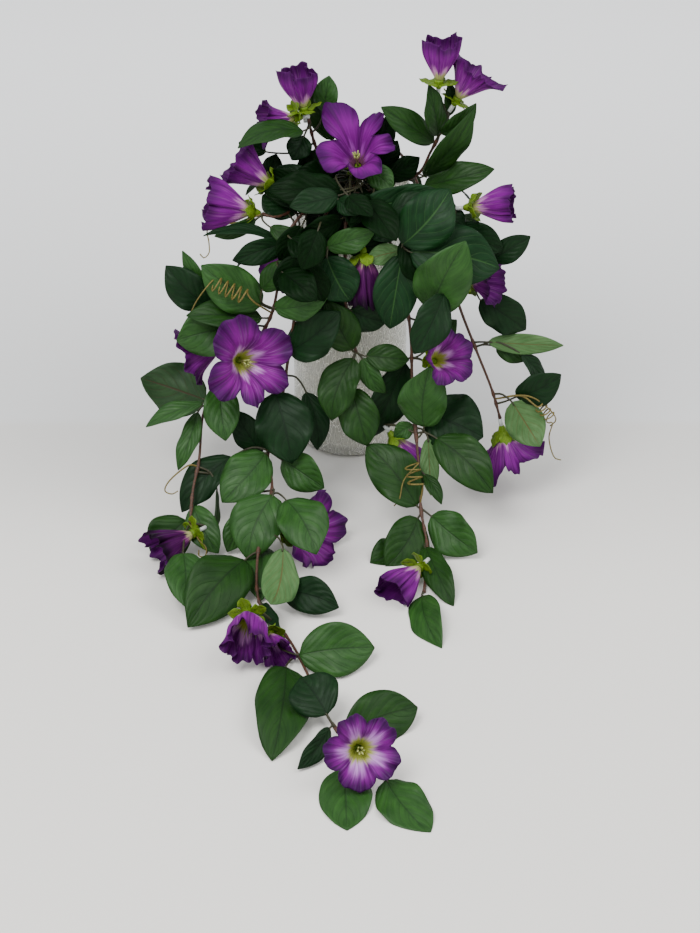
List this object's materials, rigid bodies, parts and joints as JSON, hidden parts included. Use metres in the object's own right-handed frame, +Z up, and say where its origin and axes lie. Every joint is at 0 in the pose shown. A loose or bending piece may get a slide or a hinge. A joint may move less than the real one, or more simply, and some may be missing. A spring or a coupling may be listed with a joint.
{
  "type": "artificial trailing petunia bush in a glass vase",
  "caption": "Artificial petunia bush with leafy sprays and trumpet blooms that arch over the rim of a crackle glass cylinder vase and trail along the surface.",
  "frame": {"origin": "centre of the vase's underside, on the surface it stands on", "axes": "+Z up along the vase's axis; the longest spray trails towards -Y; +X is to its right seen from -Y"},
  "size_m": [0.3913, 0.7504, 0.4211],
  "materials": {
    "vase_glass": "clear with a fine vertical crackle",
    "bound_stems": "matt, wrapped stems",
    "leaf_cloth": "printed satin cloth, dark green",
    "petal_cloth": "printed satin cloth, purple with a pale throat"
  },
  "bodies": {
    "root": {"corolla_back_left_1": "petal_cloth", "corolla_back_middle_1": "petal_cloth", "corolla_back_right_1": "petal_cloth", "corolla_centre_1": "petal_cloth", "corolla_far_right_1": "petal_cloth", "corolla_left_trail_1": "petal_cloth", "corolla_left_trail_2": "petal_cloth", "corolla_left_trail_3": "petal_cloth", "corolla_long_trail_1": "petal_cloth", "corolla_long_trail_2": "petal_cloth", "corolla_long_trail_3": "petal_cloth", "corolla_long_trail_4": "petal_cloth", "corolla_right_side_1": "petal_cloth", "corolla_right_side_2": "petal_cloth", "corolla_right_trail_1": "petal_cloth", "corolla_right_trail_2": "petal_cloth", "corolla_right_trail_3": "petal_cloth", "corolla_top_centre_1": "petal_cloth", "corolla_top_left_1": "petal_cloth", "corolla_top_left_2": "petal_cloth", "corolla_top_right_1": "petal_cloth", "corolla_top_right_2": "petal_cloth", "corolla_upper_left_1": "petal_cloth", "corolla_upper_left_2": "petal_cloth", "spray_back_left": "leaf_cloth", "spray_back_middle": "leaf_cloth", "spray_back_right": "leaf_cloth", "spray_centre": "leaf_cloth", "spray_far_right": "leaf_cloth", "spray_left_trail": "leaf_cloth", "spray_long_trail": "leaf_cloth", "spray_right_front": "leaf_cloth", "spray_right_side": "leaf_cloth", "spray_right_trail": "leaf_cloth", "spray_top_centre": "leaf_cloth", "spray_top_left": "leaf_cloth", "spray_top_right": "leaf_cloth", "spray_upper_left": "leaf_cloth", "stalk": "bound_stems", "vase": "vase_glass"}
  },
  "joints": []
}
